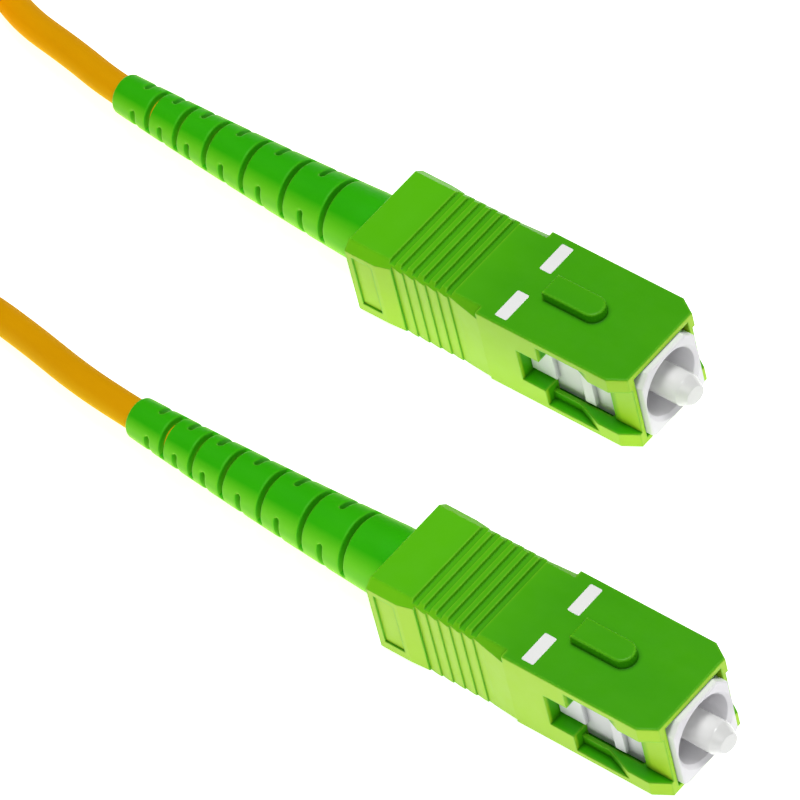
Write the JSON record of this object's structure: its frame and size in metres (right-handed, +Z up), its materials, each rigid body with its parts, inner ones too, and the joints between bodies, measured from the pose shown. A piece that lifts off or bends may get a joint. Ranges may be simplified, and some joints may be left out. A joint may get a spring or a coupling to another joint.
{
  "type": "armoured fibre optic patch cord",
  "caption": "Simplex armoured fibre optic patch cord: thin yellow-orange cable, coiled and tied, with a green square push-pull angled-polish plug and slit boot on each end.",
  "frame": {"origin": "on the surface that the plugs lie on, under the middle of the box that holds both plugs", "axes": "+X along both plugs, out of their ferrule tips; +Y towards plug a; +Z up, the way the keys point"},
  "size_m": [0.1367, 0.0455, 0.0104],
  "materials": {
    "grip_green": "satin-gloss moulded plastic",
    "boot_green": "soft satin moulded elastomer",
    "frame_white": "satin moulded plastic",
    "zirconia": "polished ceramic",
    "flange_metal": "turned",
    "spring_steel": "drawn wire",
    "post_metal": "nickel-plated, turned",
    "crimp_metal": "nickel-plated, drawn",
    "jacket_yellow": "smooth satin jacket",
    "armour_steel": "wound steel strip",
    "buffer_white": "smooth",
    "tie_fabric": "woven hook-and-loop strap"
  },
  "bodies": {
    "cord": {"plug_frame_a": "frame_white", "spring_a": "spring_steel", "back_post_a": "post_metal", "crimp_ring_a": "crimp_metal", "boot_a": "boot_green", "cable_jacket_a": "jacket_yellow", "armour_tube_a": "armour_steel", "tight_buffer_a": "buffer_white", "plug_frame_b": "frame_white", "spring_b": "spring_steel", "back_post_b": "post_metal", "crimp_ring_b": "crimp_metal", "boot_b": "boot_green", "cable_jacket_b": "jacket_yellow", "armour_tube_b": "armour_steel", "tight_buffer_b": "buffer_white", "cable_lead_a": "jacket_yellow", "cable_lead_b": "jacket_yellow", "cable_coil": "jacket_yellow", "coil_tie_1": "tie_fabric", "coil_tie_2": "tie_fabric"},
    "grip_a": {"outer_housing_a": "grip_green"},
    "grip_b": {"outer_housing_b": "grip_green"},
    "float_a": {"ferrule_a": "zirconia", "ferrule_flange_a": "flange_metal"},
    "float_b": {"ferrule_b": "zirconia", "ferrule_flange_b": "flange_metal"}
  },
  "joints": [
    {"name": "grip_a_slide", "type": "slide", "parent": "cord", "child": "grip_a", "axis": [1, 0, 0], "range_m": [-0.0017, 0]},
    {"name": "ferrule_a_float", "type": "slide", "parent": "cord", "child": "float_a", "axis": [1, 0, 0], "range_m": [-0.002, 0], "stiffness_N_per_m": 3000, "deforming": ["spring_a"]},
    {"name": "grip_b_slide", "type": "slide", "parent": "cord", "child": "grip_b", "axis": [1, 0, 0], "range_m": [-0.0017, 0]},
    {"name": "ferrule_b_float", "type": "slide", "parent": "cord", "child": "float_b", "axis": [1, 0, 0], "range_m": [-0.002, 0], "stiffness_N_per_m": 3000, "deforming": ["spring_b"]}
  ]
}
